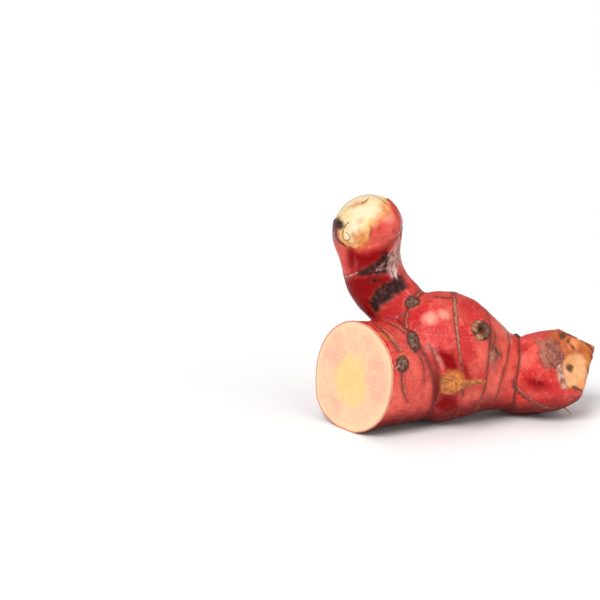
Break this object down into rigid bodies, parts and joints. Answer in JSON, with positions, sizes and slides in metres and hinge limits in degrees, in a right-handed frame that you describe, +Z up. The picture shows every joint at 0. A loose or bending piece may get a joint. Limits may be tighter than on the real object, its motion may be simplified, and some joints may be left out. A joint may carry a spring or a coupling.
{
  "type": "galangal root",
  "caption": "Fresh galangal rhizome with ringed red skin, a cut branch showing pale flesh, an upright stalk with a peeled tip and a short broken bud, lying on a table.",
  "frame": {"origin": "on the table's top, under the middle of the root's bounding box", "axes": "+Z up from the table, +X along the root from the cut branch to the broken bud, -Y the side that the branch's cut face looks to"},
  "size_m": [0.0974, 0.0575, 0.0783],
  "materials": {
    "root_skin": "satin red rhizome skin with brown leaf scars, and pale cream flesh where it is cut"
  },
  "bodies": {
    "root": {"rhizome": "root_skin"}
  },
  "joints": []
}
